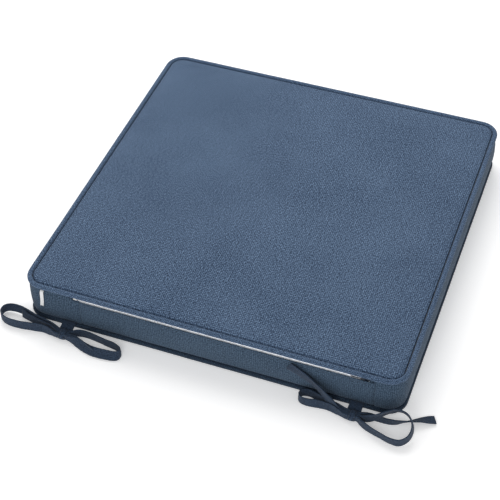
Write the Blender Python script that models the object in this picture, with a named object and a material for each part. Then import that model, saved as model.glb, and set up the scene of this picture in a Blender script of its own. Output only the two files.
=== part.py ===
"""A box-edged chair seat pad with a piped cover, a zipped rear edge and two tied bows.

Lengths are in metres and +Z is up. The pad lies flat on its underside. Its rear edge, which
carries the zip and the ties, faces -Y. The origin is the middle of the underside.

A cross-section of the pad's edge is drawn as points (inset, drop): inset is measured inwards
from the outermost line of the pad, and drop is measured down from its top.
"""
import math

import bmesh
import bpy
from mathutils import Vector

MM = 0.001

# The pad as a whole
PAD_WIDTH = 508 * MM
PAD_DEPTH = 508 * MM
PAD_HEIGHT = 63 * MM
CORNER_RADIUS = 26 * MM
CORNER_STEPS = 6
GAP = 0.3 * MM                  # clearance that is left between two pieces

# Cover cloth and its seams
CLOTH = 0.8 * MM
SEAM_ALLOWANCE = 9 * MM         # cloth that lies inside the pad beyond each piping
SIDE_INSET = 0.8 * MM           # inset of the side walls at half height
SIDE_STEPS = 4

# Piping
PIPING_RADIUS = 3.6 * MM
PIPING_WALL = 0.6 * MM
PIPING_STEPS = 10
CORD_STEPS = 8

# Filling
FOAM_SHOULDER = 1 * MM          # how far the foam's edge is set in past the seam
NOTCH_ROOM = 1.7 * MM           # space in the foam behind the slider
NOTCH_BELOW_TAPE = 3.8 * MM

# Rear wall and its hem over the zip
LEFT_RETURN = 48 * MM           # side wall that runs on past the left corner to its seam
RIGHT_RETURN = 12 * MM
HEM_INSET = 1.3 * MM
HEM_DEPTH = 14 * MM

# Zip
TAPE = 0.5 * MM
TAPE_BEHIND_PIPING = 2.6 * MM   # from the piping's middle to the tapes
TAPE_BELOW_HEM = 13 * MM
TAPE_PARTING = 1.0 * MM         # half the space between the two tapes
CHAIN_HALF_HEIGHT = 2.1 * MM
CHAIN_DEPTH = 1.4 * MM
CHAIN_START = 5 * MM            # from the left seam to the chain
CHAIN_END = 8 * MM              # from the right seam back to the closed slider
TOOTH_PITCH = 5 * MM
TOOTH_RAIL = 0.9 * MM
STOP_LENGTH = 2 * MM

# Slider and pull
SLIDER_LENGTH = 10 * MM
SLIDER_PLATE = 0.7 * MM
SLIDER_FLANGE = 0.5 * MM
SLIDER_BELOW_PIPING = 0.7 * MM
WEDGE_LENGTH = 3.4 * MM
STAPLE_THICKNESS = 0.5 * MM
STAPLE_HEIGHT = 2.4 * MM
PIVOT_INSET = 2.0 * MM
PIVOT_RADIUS = 0.35 * MM
PULL_LENGTH = 17 * MM
PULL_WIDTH = 1.5 * MM
PULL_THICKNESS = 0.7 * MM
PULL_EYE_RADIUS = 1.15 * MM

# Care label
LABEL_TURN = 2 * MM             # how far the tag's middle lies into the left corner's curve
LABEL_WIDTH = 5 * MM
LABEL_THICKNESS = 0.35 * MM
LABEL_BEND_DROP = 14 * MM       # where the tag starts to hang straight
LABEL_LOW_DROP = 36 * MM
LABEL_INSET = 0.15 * MM

# Ties
TIE_WIDTH = 12 * MM
TIE_THICKNESS = 1.0 * MM
TIE_POINT_SPACING = 6 * MM
KNOT_SIZE = Vector((15, 12, 11.4)) * MM
KNOT_BEVEL = 3 * MM
STEM_SPACING = 4.2 * MM         # half the distance between a bow's two stems
STEM_TUCK = 1.2 * MM            # how far out of the piping's middle a stem starts

LEFT_KNOT = Vector((-192, -270.5, 6.4)) * MM
RIGHT_KNOT = Vector((198, -272, 6.4)) * MM

# Routes of the ribbons in millimetres, from the knot outwards: x, y, z and the lean in
# degrees. A ribbon with no lean stands on its edge, and one that leans by 90 lies flat.
FLAT = 90
LEFT_BOW = {
    "loop_outer": (
        (-199.9, -274.2, 6.9, 0), (-208, -272.5, 6.8, 4), (-221, -270.5, 6.8, 8),
        (-237, -272.5, 6.8, 8), (-254, -275, 6.8, 6), (-270, -274.5, 6.8, 4),
        (-281.5, -269.5, 6.8, 0), (-285.5, -262, 7.0, 0), (-283, -255, 7.3, 0),
        (-274, -251.5, 7.8, -4), (-261, -252, 8.3, -8), (-248, -255.2, 8.4, -10),
        (-236, -258.6, 8.0, -8), (-222, -260.6, 7.4, -4), (-210, -262.2, 7.0, 0),
        (-199.9, -266.2, 6.9, 0),
    ),
    "loop_inner": (
        (-184.1, -274.2, 6.9, 0), (-177, -275.5, 6.8, 8), (-166, -279.5, 6.8, 18),
        (-153, -286, 6.8, 20), (-140, -290.5, 6.8, 16), (-128, -288.5, 6.8, 10),
        (-117, -283, 6.8, 4), (-110.5, -276.5, 6.8, 0), (-111.5, -270.5, 6.8, 0),
        (-120, -267.3, 6.8, 0), (-134, -265, 6.8, 0), (-150, -262.2, 6.8, 0),
        (-166, -261, 6.8, 0), (-176, -263, 6.8, 0), (-184.1, -266.8, 6.9, 0),
    ),
    "tail_outer": (
        (-199.9, -269.4, 6.7, 0), (-210, -265.8, 6.7, 0), (-222, -263.6, 6.7, 0),
        (-236, -261.8, 6.9, 4), (-248, -259.2, 7.2, 6), (-258, -256.2, 7.4, 6),
    ),
    "tail_inner": (
        (-184.1, -270.8, 6.7, 0), (-174, -271.6, 6.7, 6), (-164, -274.4, 6.8, 12),
        (-153, -279.4, 6.8, 14), (-143, -283, 6.8, 14),
    ),
}
RIGHT_BOW = {
    "loop_inner": (
        (190.1, -275.6, 6.9, 0), (180, -272.6, 6.8, 0), (168, -269.5, 6.8, 4),
        (153, -269.5, 6.8, 6), (140, -271.5, 6.8, 4), (131, -270.5, 6.9, 0),
        (127, -265.5, 7.2, 0), (129.5, -260.2, 7.8, 0), (138, -258.6, 8.4, 0),
        (150, -261, 8.8, 0), (163, -264, 8.6, 0), (176, -266.2, 8.0, 0),
        (190.1, -268.4, 7.0, 0),
    ),
    "loop_outer": (
        (205.9, -275.6, 6.9, 0), (213, -280.5, 6.8, 0), (224, -285.5, 6.8, 4),
        (238, -289.5, 6.8, 8), (251, -293, 6.8, 8), (262, -293, 7.2, 4),
        (270, -287, 9, 0), (273.5, -278.5, 12.5, -6), (272, -269, 17, -14),
        (266, -262, 21, -22), (257, -259, 23.5, -28), (247, -260.5, 23.5, -26),
        (237, -266, 20.5, -20), (227, -271.5, 16, -12), (216, -273.2, 9.6, -4),
        (210, -272.4, 7.4, 0), (205.9, -272, 7, 0),
    ),
    "tail_inner": (
        (190.1, -272, 6.9, 0), (179, -270.2, 7.9, 0), (171, -268, 12.6, 0),
        (164, -266.4, 18.6, 0), (154, -262.4, 24.5, -10), (140, -258, 31, -12),
        (125, -256.2, 38.5, -6), (110, -255.6, 46, 0),
    ),
    "tail_outer": (
        (205.9, -268.2, 6.7, 0), (214, -266.2, 6.7, 0), (226, -266, 6.7, 4),
        (240, -266.5, 6.7, 8), (253, -263.8, 6.6, 20), (264, -258, 6, 38),
        (275, -251, 4.6, 58), (286, -245, 3.2, 74), (294, -241, 1.8, 84),
    ),
}

# Sizes that follow from the ones above
HALF_WIDTH = PAD_WIDTH / 2
HALF_DEPTH = PAD_DEPTH / 2
CORNER_X = HALF_WIDTH - CORNER_RADIUS
CORNER_Y = HALF_DEPTH - CORNER_RADIUS
MIDDLE_DROP = PAD_HEIGHT / 2
FLANGE_HALF = PIPING_WALL + GAP / 2
ALLOWANCE_END = 2 * PIPING_RADIUS + SEAM_ALLOWANCE
NESTING_RADIUS = PIPING_RADIUS + GAP
PANEL_SEAM_DROP = PIPING_RADIUS - FLANGE_HALF - GAP
SIDE_SEAM_DROP = PIPING_RADIUS + FLANGE_HALF + GAP
FOAM_DROP = SIDE_SEAM_DROP + CLOTH + GAP
WADDING_THICKNESS = FOAM_DROP - CLOTH - 2 * GAP
SLIDER_TOP_DROP = 2 * PIPING_RADIUS + SLIDER_BELOW_PIPING
ZIP_DROP = SLIDER_TOP_DROP + SLIDER_FLANGE + GAP + CHAIN_HALF_HEIGHT
SLIDER_LOW_DROP = ZIP_DROP + CHAIN_HALF_HEIGHT + GAP + SLIDER_FLANGE
STAPLE_TOP_DROP = 2 * PIPING_RADIUS + GAP
PIVOT_DROP = STAPLE_TOP_DROP + STAPLE_HEIGHT / 2
HEM_DROP = STAPLE_TOP_DROP + STAPLE_HEIGHT + GAP
TAPE_INSET = PIPING_RADIUS + TAPE_BEHIND_PIPING
REAR_LEFT_SEAM = LEFT_RETURN - CORNER_X
REAR_RIGHT_SEAM = CORNER_X - RIGHT_RETURN
CHAIN_LEFT = REAR_LEFT_SEAM + CHAIN_START
SLIDER_TRAVEL_END = REAR_RIGHT_SEAM - CHAIN_END
LABEL_MIDDLE = -CORNER_X - LABEL_TURN
CHAIN_INSET = TAPE_INSET - GAP - CHAIN_DEPTH
CHAIN_RIGHT = SLIDER_TRAVEL_END - WEDGE_LENGTH - 2 * GAP
TAPE_RIGHT = SLIDER_TRAVEL_END + STOP_LENGTH + 3 * GAP
TAPE_LEFT = CHAIN_LEFT - STOP_LENGTH - 3 * GAP
SLIDER_FRONT_INSET = CHAIN_INSET - GAP - SLIDER_PLATE
PIVOT_X = SLIDER_TRAVEL_END - SLIDER_LENGTH / 2


def clear_scene():
    for old in list(bpy.data.objects):
        bpy.data.objects.remove(old, do_unlink=True)


def make_material(name, colour, roughness, metallic=0.0):
    material = bpy.data.materials.new(name)
    material.use_nodes = True
    shader = material.node_tree.nodes["Principled BSDF"]
    shader.inputs["Base Color"].default_value = (*colour, 1.0)
    shader.inputs["Roughness"].default_value = roughness
    shader.inputs["Metallic"].default_value = metallic
    return material


def add_object(name, bm, finish, smooth_angle=40):
    """Close a bmesh into a named object with a material of its own."""
    bmesh.ops.recalc_face_normals(bm, faces=bm.faces)
    mesh = bpy.data.meshes.new(name)
    bm.to_mesh(mesh)
    bm.free()
    mesh.materials.append(make_material(name, *finish))
    mesh.shade_smooth()
    mesh.set_sharp_from_angle(angle=math.radians(smooth_angle))
    item = bpy.data.objects.new(name, mesh)
    bpy.context.scene.collection.objects.link(item)
    return item


def box_mesh(low, high):
    bm = bmesh.new()
    bmesh.ops.create_cube(bm, size=1.0)
    low, high = Vector(low), Vector(high)
    bmesh.ops.scale(bm, vec=high - low, verts=bm.verts)
    bmesh.ops.translate(bm, vec=(low + high) / 2, verts=bm.verts)
    return bm


def rear_box(left, right, inset, back, top, low):
    """A box at the rear edge, between two insets and between two drops from the top."""
    return box_mesh(
        (left, inset - HALF_DEPTH, PAD_HEIGHT - low),
        (right, back - HALF_DEPTH, PAD_HEIGHT - top),
    )


def arc(centre, radius, start, end, steps):
    """Points on an arc in a cross-section, with the angles in degrees from inwards to down."""
    points = []
    for step in range(steps + 1):
        angle = math.radians(start + (end - start) * step / steps)
        points.append((centre[0] + radius * math.cos(angle), centre[1] + radius * math.sin(angle)))
    return points


def flip(points):
    """The same outline seen upside down, for the pad's lower half."""
    return [(inset, PAD_HEIGHT - drop) for inset, drop in reversed(points)]


def thick_line(points, thickness):
    """Close an open outline into a wall, whose second side lies to the right of its points."""
    directions = []
    for (x0, y0), (x1, y1) in zip(points, points[1:]):
        directions.append(Vector((x1 - x0, y1 - y0)).normalized())
    second_side = []
    for index, (x, y) in enumerate(points):
        before = directions[max(index - 1, 0)]
        after = directions[min(index, len(directions) - 1)]
        middle = (before + after).normalized()
        right = Vector((middle.y, -middle.x))
        reach = thickness / max(middle.dot(after), 0.3)
        second_side.append((x + right.x * reach, y + right.y * reach))
    return list(points) + second_side[::-1]


def run_round(profile, closed_profile=True, right_start=0.0, left_end=0.0):
    """Carry a cross-section round the pad's edge, from the rear side and back to it."""
    bm = bmesh.new()
    verts = [bm.verts.new((right_start, inset - HALF_DEPTH, PAD_HEIGHT - drop))
             for inset, drop in profile]
    edges = [bm.edges.new(pair) for pair in zip(verts, verts[1:])]
    if closed_profile:
        edges.append(bm.edges.new((verts[-1], verts[0])))
    sides = (
        ((CORNER_X - right_start, 0, 0), (CORNER_X, -CORNER_Y, 0)),
        ((0, 2 * CORNER_Y, 0), (CORNER_X, CORNER_Y, 0)),
        ((-2 * CORNER_X, 0, 0), (-CORNER_X, CORNER_Y, 0)),
        ((0, -2 * CORNER_Y, 0), (-CORNER_X, -CORNER_Y, 0)),
    )
    for run, corner in sides:
        edges = extrude_along(bm, edges, run)
        turned = bmesh.ops.spin(
            bm, geom=edges, cent=corner, axis=(0, 0, 1), angle=math.pi / 2,
            steps=CORNER_STEPS, dvec=(0, 0, 0), use_duplicate=False)
        edges = edges_among(turned["geom_last"])
    extrude_along(bm, edges, (left_end + CORNER_X, 0, 0))
    bmesh.ops.remove_doubles(bm, verts=bm.verts, dist=0.01 * MM)
    rims = [edge for edge in bm.edges if edge.is_boundary]
    if rims:
        bmesh.ops.holes_fill(bm, edges=rims, sides=0)
    return bm


def edges_among(geometry):
    """The edges of some geometry whose two ends both belong to it."""
    verts = {item for item in geometry if isinstance(item, bmesh.types.BMVert)}
    edges = [item for item in geometry if isinstance(item, bmesh.types.BMEdge)]
    return [edge for edge in edges if all(vert in verts for vert in edge.verts)]


def extrude_along(bm, edges, run):
    grown = bmesh.ops.extrude_edge_only(bm, edges=edges)["geom"]
    verts = [item for item in grown if isinstance(item, bmesh.types.BMVert)]
    bmesh.ops.translate(bm, vec=run, verts=verts)
    return edges_among(grown)


def run_straight(profile, left, right):
    """Carry a closed cross-section along the rear edge between two places."""
    bm = bmesh.new()
    verts = [bm.verts.new((left, inset - HALF_DEPTH, PAD_HEIGHT - drop)) for inset, drop in profile]
    bm.faces.new(verts)
    grown = bmesh.ops.extrude_face_region(bm, geom=bm.faces[:])["geom"]
    moved = [item for item in grown if isinstance(item, bmesh.types.BMVert)]
    bmesh.ops.translate(bm, vec=(right - left, 0, 0), verts=moved)
    return bm


# --- Cover ---------------------------------------------------------------------------------

NAVY_CLOTH = ((0.085, 0.130, 0.200), 0.85)
PIPING_CLOTH = ((0.075, 0.120, 0.185), 0.85)
WHITE_CORD = ((0.80, 0.80, 0.78), 0.8)
SEAM_END_ANGLE = 80             # where a side wall leaves the piping that it nests against


def panel_outline():
    """From the middle of the top, out to the seam and back along the seam allowance."""
    roll = 2 * PIPING_RADIUS + GAP / 2
    middle = 5 * CORNER_RADIUS / 4
    low = PANEL_SEAM_DROP
    return [
        (middle, 0.0), (roll + 2.4 * CLOTH, 0.0), (roll + 0.9 * CLOTH, 0.4 * CLOTH),
        (roll, low / 2), (roll + 0.1 * CLOTH, low * 0.85), (roll + 0.6 * CLOTH, low),
        (ALLOWANCE_END, low), (ALLOWANCE_END, low - CLOTH), (roll + 1.5 * CLOTH, low - CLOTH),
        (roll + 1.5 * CLOTH, CLOTH + GAP), (roll + 2.6 * CLOTH, CLOTH), (middle, CLOTH),
    ]


def make_panels():
    outline = panel_outline()
    add_object("top_panel", run_round(outline, closed_profile=False), NAVY_CLOTH)
    add_object("bottom_panel", run_round(flip(outline), closed_profile=False), NAVY_CLOTH)


def side_wall_half():
    """The side wall's outer face, from its upper raw edge to half height."""
    centre = (PIPING_RADIUS, PIPING_RADIUS)
    first_angle = math.degrees(math.asin((SIDE_SEAM_DROP - PIPING_RADIUS) / NESTING_RADIUS))
    nest = arc(centre, NESTING_RADIUS, first_angle, SEAM_END_ANGLE, 3)
    start_inset, start_drop = nest[-1]
    points = [(ALLOWANCE_END, SIDE_SEAM_DROP)] + nest
    for step in range(1, SIDE_STEPS + 1):
        angle = math.pi / 2 * step / SIDE_STEPS
        points.append((
            start_inset - (start_inset - SIDE_INSET) * math.sin(angle),
            MIDDLE_DROP - (MIDDLE_DROP - start_drop) * math.cos(angle),
        ))
    return points


def make_side_walls():
    half = side_wall_half()
    outline = half + flip(half)[1:]
    band = thick_line(outline, CLOTH)
    add_object("boxing_band", run_round(
        band, right_start=REAR_RIGHT_SEAM + GAP, left_end=REAR_LEFT_SEAM - GAP), NAVY_CLOTH)

    hem_back = HEM_INSET + 2 * CLOTH + GAP
    hem = [(hem_back, HEM_DROP + HEM_DEPTH), (hem_back, HEM_DROP), (HEM_INSET, HEM_DROP)]
    rear_outline = hem + flip(half)
    rear_wall = thick_line(rear_outline, CLOTH)
    add_object("rear_boxing", run_straight(rear_wall, REAR_LEFT_SEAM, REAR_RIGHT_SEAM), NAVY_CLOTH)


def piping_outline():
    """A cloth strip wrapped round the cord, with its two edges laid together as a flange."""
    centre = (PIPING_RADIUS, PIPING_RADIUS)
    inner_radius = PIPING_RADIUS - PIPING_WALL
    outer_angle = math.degrees(math.asin(FLANGE_HALF / PIPING_RADIUS))
    inner_angle = math.degrees(math.asin(GAP / 2 / inner_radius))
    outer = arc(centre, PIPING_RADIUS, outer_angle, 360 - outer_angle, PIPING_STEPS)
    inner = arc(centre, inner_radius, 360 - inner_angle, inner_angle, PIPING_STEPS)
    return (
        [(ALLOWANCE_END, PIPING_RADIUS + FLANGE_HALF)] + outer
        + [(ALLOWANCE_END, PIPING_RADIUS - FLANGE_HALF)]
        + [(ALLOWANCE_END, PIPING_RADIUS - GAP / 2)] + inner
        + [(ALLOWANCE_END, PIPING_RADIUS + GAP / 2)]
    )


def make_piping():
    cover = piping_outline()
    cord_radius = PIPING_RADIUS - PIPING_WALL - GAP
    cord = arc((PIPING_RADIUS, PIPING_RADIUS), cord_radius, 0, 360, CORD_STEPS)[:-1]
    add_object("top_piping_cover", run_round(cover), PIPING_CLOTH)
    add_object("bottom_piping_cover", run_round(flip(cover)), PIPING_CLOTH)
    add_object("top_piping_cord", run_round(cord), WHITE_CORD)
    add_object("bottom_piping_cord", run_round(flip(cord)), WHITE_CORD)


# --- Filling -------------------------------------------------------------------------------

FOAM = ((0.78, 0.74, 0.62), 0.95)
WADDING = ((0.86, 0.87, 0.87), 0.95)


def add_modifier_piece(item, helper, operation):
    """Cut or join a helper shape, which itself isn't part of the object."""
    helper.hide_render = True
    helper.display_type = "WIRE"
    modifier = item.modifiers.new(helper.name, "BOOLEAN")
    modifier.operation = operation
    modifier.object = helper


def make_foam():
    top_inset = 2.5 * PIPING_RADIUS + FOAM_SHOULDER
    side_inset = SIDE_INSET + CLOTH + GAP
    steps = SIDE_STEPS + 1
    half = []
    for step in range(steps + 1):
        angle = math.pi / 2 * step / steps
        half.append((
            top_inset - (top_inset - side_inset) * math.sin(angle),
            MIDDLE_DROP - (MIDDLE_DROP - FOAM_DROP) * math.cos(angle),
        ))
    foam = add_object("foam_core", run_round(half + flip(half)[1:], closed_profile=False), FOAM)
    notch_inset = TAPE_INSET + TAPE + GAP + SLIDER_PLATE + NOTCH_ROOM
    notch_drop = HEM_DROP + TAPE_BELOW_HEM + NOTCH_BELOW_TAPE
    notch = add_object("zip_notch", rear_box(
        REAR_LEFT_SEAM - 2 * GAP, REAR_RIGHT_SEAM + 2 * GAP,
        -CLOTH, notch_inset, 0.0, notch_drop), FOAM)
    add_modifier_piece(foam, notch, "DIFFERENCE")


def make_wadding():
    inset = ALLOWANCE_END + GAP
    sheet = [(inset, CLOTH + GAP), (inset, CLOTH + GAP + WADDING_THICKNESS)]
    add_object("wadding_top", run_round(sheet, closed_profile=False), WADDING)
    add_object("wadding_bottom", run_round(flip(sheet), closed_profile=False), WADDING)


# --- Zip -----------------------------------------------------------------------------------

TAPE_CLOTH = ((0.075, 0.110, 0.160), 0.8)
WHITE_NYLON = ((0.88, 0.88, 0.88), 0.45)
NAVY_ENAMEL = ((0.050, 0.075, 0.115), 0.35, 0.6)


def make_zip_tapes():
    centre = (PIPING_RADIUS, PIPING_RADIUS)
    first_angle = math.degrees(math.asin((SIDE_SEAM_DROP - PIPING_RADIUS) / NESTING_RADIUS))
    nest = arc(centre, NESTING_RADIUS, first_angle, 40, 2)
    upper = [(ALLOWANCE_END, SIDE_SEAM_DROP)] + nest + [
        (TAPE_INSET, ZIP_DROP - CHAIN_HALF_HEIGHT - GAP), (TAPE_INSET, ZIP_DROP - TAPE_PARTING)]
    add_object("zip_tape_upper", run_straight(
        thick_line(upper, TAPE), TAPE_LEFT, TAPE_RIGHT), TAPE_CLOTH)

    hem_back = HEM_INSET + 2 * CLOTH + 2 * GAP
    bend_drop = SLIDER_LOW_DROP + GAP
    lower = [
        (TAPE_INSET, ZIP_DROP + TAPE_PARTING), (TAPE_INSET, bend_drop),
        (hem_back, bend_drop + (TAPE_INSET - hem_back)), (hem_back, HEM_DROP + TAPE_BELOW_HEM)]
    add_object("zip_tape_lower", run_straight(
        thick_line(lower, TAPE), TAPE_LEFT, TAPE_RIGHT), TAPE_CLOTH)


def tooth_row(first_tooth, rail_side):
    """One half of the chain: a rail along its tape, with teeth that reach across the middle."""
    half = CHAIN_HALF_HEIGHT
    tip = half - TOOTH_RAIL - GAP
    tooth = TOOTH_PITCH / 2 - GAP
    rail_edge = half - TOOTH_RAIL
    count = int((CHAIN_RIGHT - CHAIN_LEFT) / TOOTH_PITCH)
    outline = [(CHAIN_LEFT, half), (CHAIN_LEFT, rail_edge)]
    for index in range(count):
        start = CHAIN_LEFT + first_tooth + index * TOOTH_PITCH
        outline += [(start, rail_edge), (start, -tip), (start + tooth, -tip),
                    (start + tooth, rail_edge)]
    outline += [(CHAIN_RIGHT, rail_edge), (CHAIN_RIGHT, half)]
    bm = bmesh.new()
    middle = PAD_HEIGHT - ZIP_DROP
    verts = [bm.verts.new((x, CHAIN_INSET - HALF_DEPTH, middle + rail_side * z)) for x, z in outline]
    bm.faces.new(verts)
    grown = bmesh.ops.extrude_face_region(bm, geom=bm.faces[:])["geom"]
    moved = [item for item in grown if isinstance(item, bmesh.types.BMVert)]
    bmesh.ops.translate(bm, vec=(0, CHAIN_DEPTH, 0), verts=moved)
    return bm


def make_zip_chain():
    add_object("zip_teeth_upper", tooth_row(GAP, 1), WHITE_NYLON)
    add_object("zip_teeth_lower", tooth_row(GAP + TOOTH_PITCH / 2, -1), WHITE_NYLON)
    top = ZIP_DROP - CHAIN_HALF_HEIGHT
    low = ZIP_DROP + CHAIN_HALF_HEIGHT
    back = TAPE_INSET - GAP
    stop_left = SLIDER_TRAVEL_END + GAP
    stop_right = stop_left + STOP_LENGTH
    add_object("zip_top_stop_upper", rear_box(
        stop_left, stop_right, CHAIN_INSET, back, top, ZIP_DROP - TAPE_PARTING), NAVY_ENAMEL)
    add_object("zip_top_stop_lower", rear_box(
        stop_left, stop_right, CHAIN_INSET, back, ZIP_DROP + TAPE_PARTING, low), NAVY_ENAMEL)
    add_object("zip_bottom_stop", rear_box(
        CHAIN_LEFT - GAP - STOP_LENGTH, CHAIN_LEFT - GAP, CHAIN_INSET, back, top, low), NAVY_ENAMEL)


def make_slider():
    """Two plates joined by a wedge, flanges round the chain and a staple for the pull."""
    left = SLIDER_TRAVEL_END - SLIDER_LENGTH
    right = SLIDER_TRAVEL_END
    front = SLIDER_FRONT_INSET
    plate_back = front + SLIDER_PLATE
    flange_back = TAPE_INSET - GAP
    rear_plate = TAPE_INSET + TAPE + GAP
    wedge_half = TAPE_PARTING - GAP
    overlap = SLIDER_PLATE / 2
    staple_low = STAPLE_TOP_DROP + STAPLE_HEIGHT
    post = PIVOT_INSET - PIVOT_RADIUS
    near = PIVOT_X - PIVOT_RADIUS
    far = PIVOT_X + PIVOT_RADIUS
    slider = add_object("zip_slider", rear_box(
        left, right, front, plate_back, SLIDER_TOP_DROP, SLIDER_LOW_DROP), NAVY_ENAMEL)
    pieces = {
        "slider_flange_top": (left, right, front + overlap, flange_back,
                              SLIDER_TOP_DROP, SLIDER_TOP_DROP + SLIDER_FLANGE),
        "slider_flange_low": (left, right, front + overlap, flange_back,
                              SLIDER_LOW_DROP - SLIDER_FLANGE, SLIDER_LOW_DROP),
        "slider_wedge": (right - WEDGE_LENGTH, right, front + overlap, rear_plate + overlap,
                         ZIP_DROP - wedge_half, ZIP_DROP + wedge_half),
        "slider_rear_plate": (left, right, rear_plate, rear_plate + SLIDER_PLATE,
                              SLIDER_TOP_DROP, SLIDER_LOW_DROP),
        "slider_staple_top": (near, far, post, plate_back - overlap / 2,
                              STAPLE_TOP_DROP, STAPLE_TOP_DROP + STAPLE_THICKNESS),
        "slider_staple_low": (near, far, post, plate_back - overlap / 2,
                              staple_low - STAPLE_THICKNESS, staple_low),
        "slider_pin": (near, far, post, PIVOT_INSET + PIVOT_RADIUS,
                       STAPLE_TOP_DROP, staple_low),
    }
    for name, extent in pieces.items():
        add_modifier_piece(slider, add_object(name, rear_box(*extent), NAVY_ENAMEL), "UNION")


def make_pull():
    """A slim tab that lies back along the chain, with its eye round the staple's pin."""
    eye_half = STAPLE_HEIGHT / 2 - STAPLE_THICKNESS - GAP
    hole_radius = PULL_EYE_RADIUS - PULL_THICKNESS / 2
    bm = bmesh.new()
    bmesh.ops.create_cone(bm, cap_ends=True, segments=16, radius1=PULL_EYE_RADIUS,
                          radius2=PULL_EYE_RADIUS, depth=2 * eye_half)
    pull = add_object("zip_pull", bm, NAVY_ENAMEL)
    hole = bmesh.new()
    bmesh.ops.create_cone(hole, cap_ends=True, segments=16, radius1=hole_radius,
                          radius2=hole_radius, depth=4 * eye_half)
    tab_start = -(PULL_EYE_RADIUS - PULL_THICKNESS / 4)
    tab = box_mesh((-PULL_LENGTH, -PULL_THICKNESS / 2, -PULL_WIDTH / 2),
                   (tab_start, PULL_THICKNESS / 2, PULL_WIDTH / 2))
    helpers = (
        (add_object("pull_tab", tab, NAVY_ENAMEL), "UNION"),
        (add_object("pull_eye_hole", hole, NAVY_ENAMEL), "DIFFERENCE"),
    )
    pull.location = (PIVOT_X, PIVOT_INSET - HALF_DEPTH, PAD_HEIGHT - PIVOT_DROP)
    for helper, operation in helpers:
        helper.parent = pull
        add_modifier_piece(pull, helper, operation)


# --- Care label ----------------------------------------------------------------------------

WHITE_SATIN = ((0.90, 0.90, 0.90), 0.5)


def make_care_label():
    """A narrow tag that hangs from the seam under the top piping."""
    hidden = SIDE_INSET + 2 * CLOTH
    outline = [
        (hidden, 2 * PIPING_RADIUS + 2 * GAP), (LABEL_INSET + CLOTH / 2, HEM_DROP),
        (LABEL_INSET, LABEL_BEND_DROP), (LABEL_INSET, LABEL_LOW_DROP)]
    add_object("care_label", run_straight(
        thick_line(outline, LABEL_THICKNESS),
        LABEL_MIDDLE - LABEL_WIDTH / 2, LABEL_MIDDLE + LABEL_WIDTH / 2), WHITE_SATIN)


# --- Ties ----------------------------------------------------------------------------------

TIE_CLOTH = ((0.050, 0.080, 0.125), 0.85)


def smooth_route(points):
    """Evenly spaced points on a smooth curve through a route, with the lean carried along."""
    knots = [Vector(point) for point in points]
    knots = [2 * knots[0] - knots[1]] + knots + [2 * knots[-1] - knots[-2]]
    dense = []
    for p0, p1, p2, p3 in zip(knots, knots[1:], knots[2:], knots[3:]):
        for step in range(10):
            t = step / 10
            dense.append(0.5 * (2 * p1 + (p2 - p0) * t + (2 * p0 - 5 * p1 + 4 * p2 - p3) * t * t
                                + (3 * p1 - p0 - 3 * p2 + p3) * t ** 3))
    dense.append(knots[-2])
    places = [0.0]
    for here, there in zip(dense, dense[1:]):
        places.append(places[-1] + (there.xyz - here.xyz).length)
    count = max(2, round(places[-1] / TIE_POINT_SPACING))
    route = []
    index = 0
    for step in range(count + 1):
        place = places[-1] * step / count
        while index < len(places) - 2 and places[index + 1] < place:
            index += 1
        share = (place - places[index]) / (places[index + 1] - places[index])
        route.append(dense[index].lerp(dense[index + 1], share))
    return route


def make_ribbon(name, points, width):
    """A flat ribbon as a curve that is extruded to its width and bevelled to its thickness."""
    route = smooth_route(points)
    curve = bpy.data.curves.new(name, "CURVE")
    curve.dimensions = "3D"
    curve.twist_mode = "Z_UP"
    curve.bevel_depth = TIE_THICKNESS / 2
    curve.bevel_resolution = 0
    curve.extrude = width / 2 - TIE_THICKNESS / 2
    curve.use_fill_caps = True
    curve.materials.append(make_material(name, *TIE_CLOTH))
    spline = curve.splines.new("POLY")
    spline.points.add(len(route) - 1)
    for point, place in zip(spline.points, route):
        point.co = (*place.xyz, 1.0)
        point.tilt = math.radians(place.w)
    ribbon = bpy.data.objects.new(name, curve)
    bpy.context.scene.collection.objects.link(ribbon)


def make_knot(name, centre):
    bm = box_mesh(centre - KNOT_SIZE / 2, centre + KNOT_SIZE / 2)
    bmesh.ops.bevel(bm, geom=bm.edges[:], offset=KNOT_BEVEL, segments=2, profile=0.5,
                    affect="EDGES", material=-1)
    add_object(name, bm, TIE_CLOTH)


def stem_route(x, knot_centre):
    """From the crease over the lower piping, out across it and down to the knot's back."""
    seam_y = PIPING_RADIUS - STEM_TUCK - HALF_DEPTH
    seam_z = 2 * PIPING_RADIUS + GAP + TIE_THICKNESS
    end_y = knot_centre.y + KNOT_SIZE.y / 2 + GAP + TIE_THICKNESS / 2
    end_z = knot_centre.z
    return (
        (x, seam_y, seam_z, FLAT),
        (x, (2 * seam_y + end_y) / 3, seam_z, FLAT),
        (x, (seam_y + 2 * end_y) / 3, (2 * seam_z + end_z) / 3, FLAT),
        (x, end_y, end_z, FLAT),
    )


def make_bow(side, knot_centre, routes):
    """A bow of two ribbons that are sewn into the lower rear seam beside each other."""
    make_knot(f"{side}_tie_knot", knot_centre)
    stem_width = 2 * (STEM_SPACING - GAP)
    for letter, shift in (("a", -STEM_SPACING), ("b", STEM_SPACING)):
        route = stem_route(knot_centre.x + shift, knot_centre)
        make_ribbon(f"{side}_tie_stem_{letter}", route, stem_width)
    for part, points in routes.items():
        route = [(x * MM, y * MM, z * MM, lean) for x, y, z, lean in points]
        make_ribbon(f"{side}_tie_{part}", route, TIE_WIDTH)


clear_scene()
make_panels()
make_side_walls()
make_piping()
make_foam()
make_wadding()
make_zip_tapes()
make_zip_chain()
make_slider()
make_pull()
make_care_label()
make_bow("left", LEFT_KNOT, LEFT_BOW)
make_bow("right", RIGHT_KNOT, RIGHT_BOW)
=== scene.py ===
"""A square chair seat pad: woven blue cloth over foam, piped edges, a zip along the rear
and two ties in bows that lie on the floor behind it."""
import math
from itertools import accumulate

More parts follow.
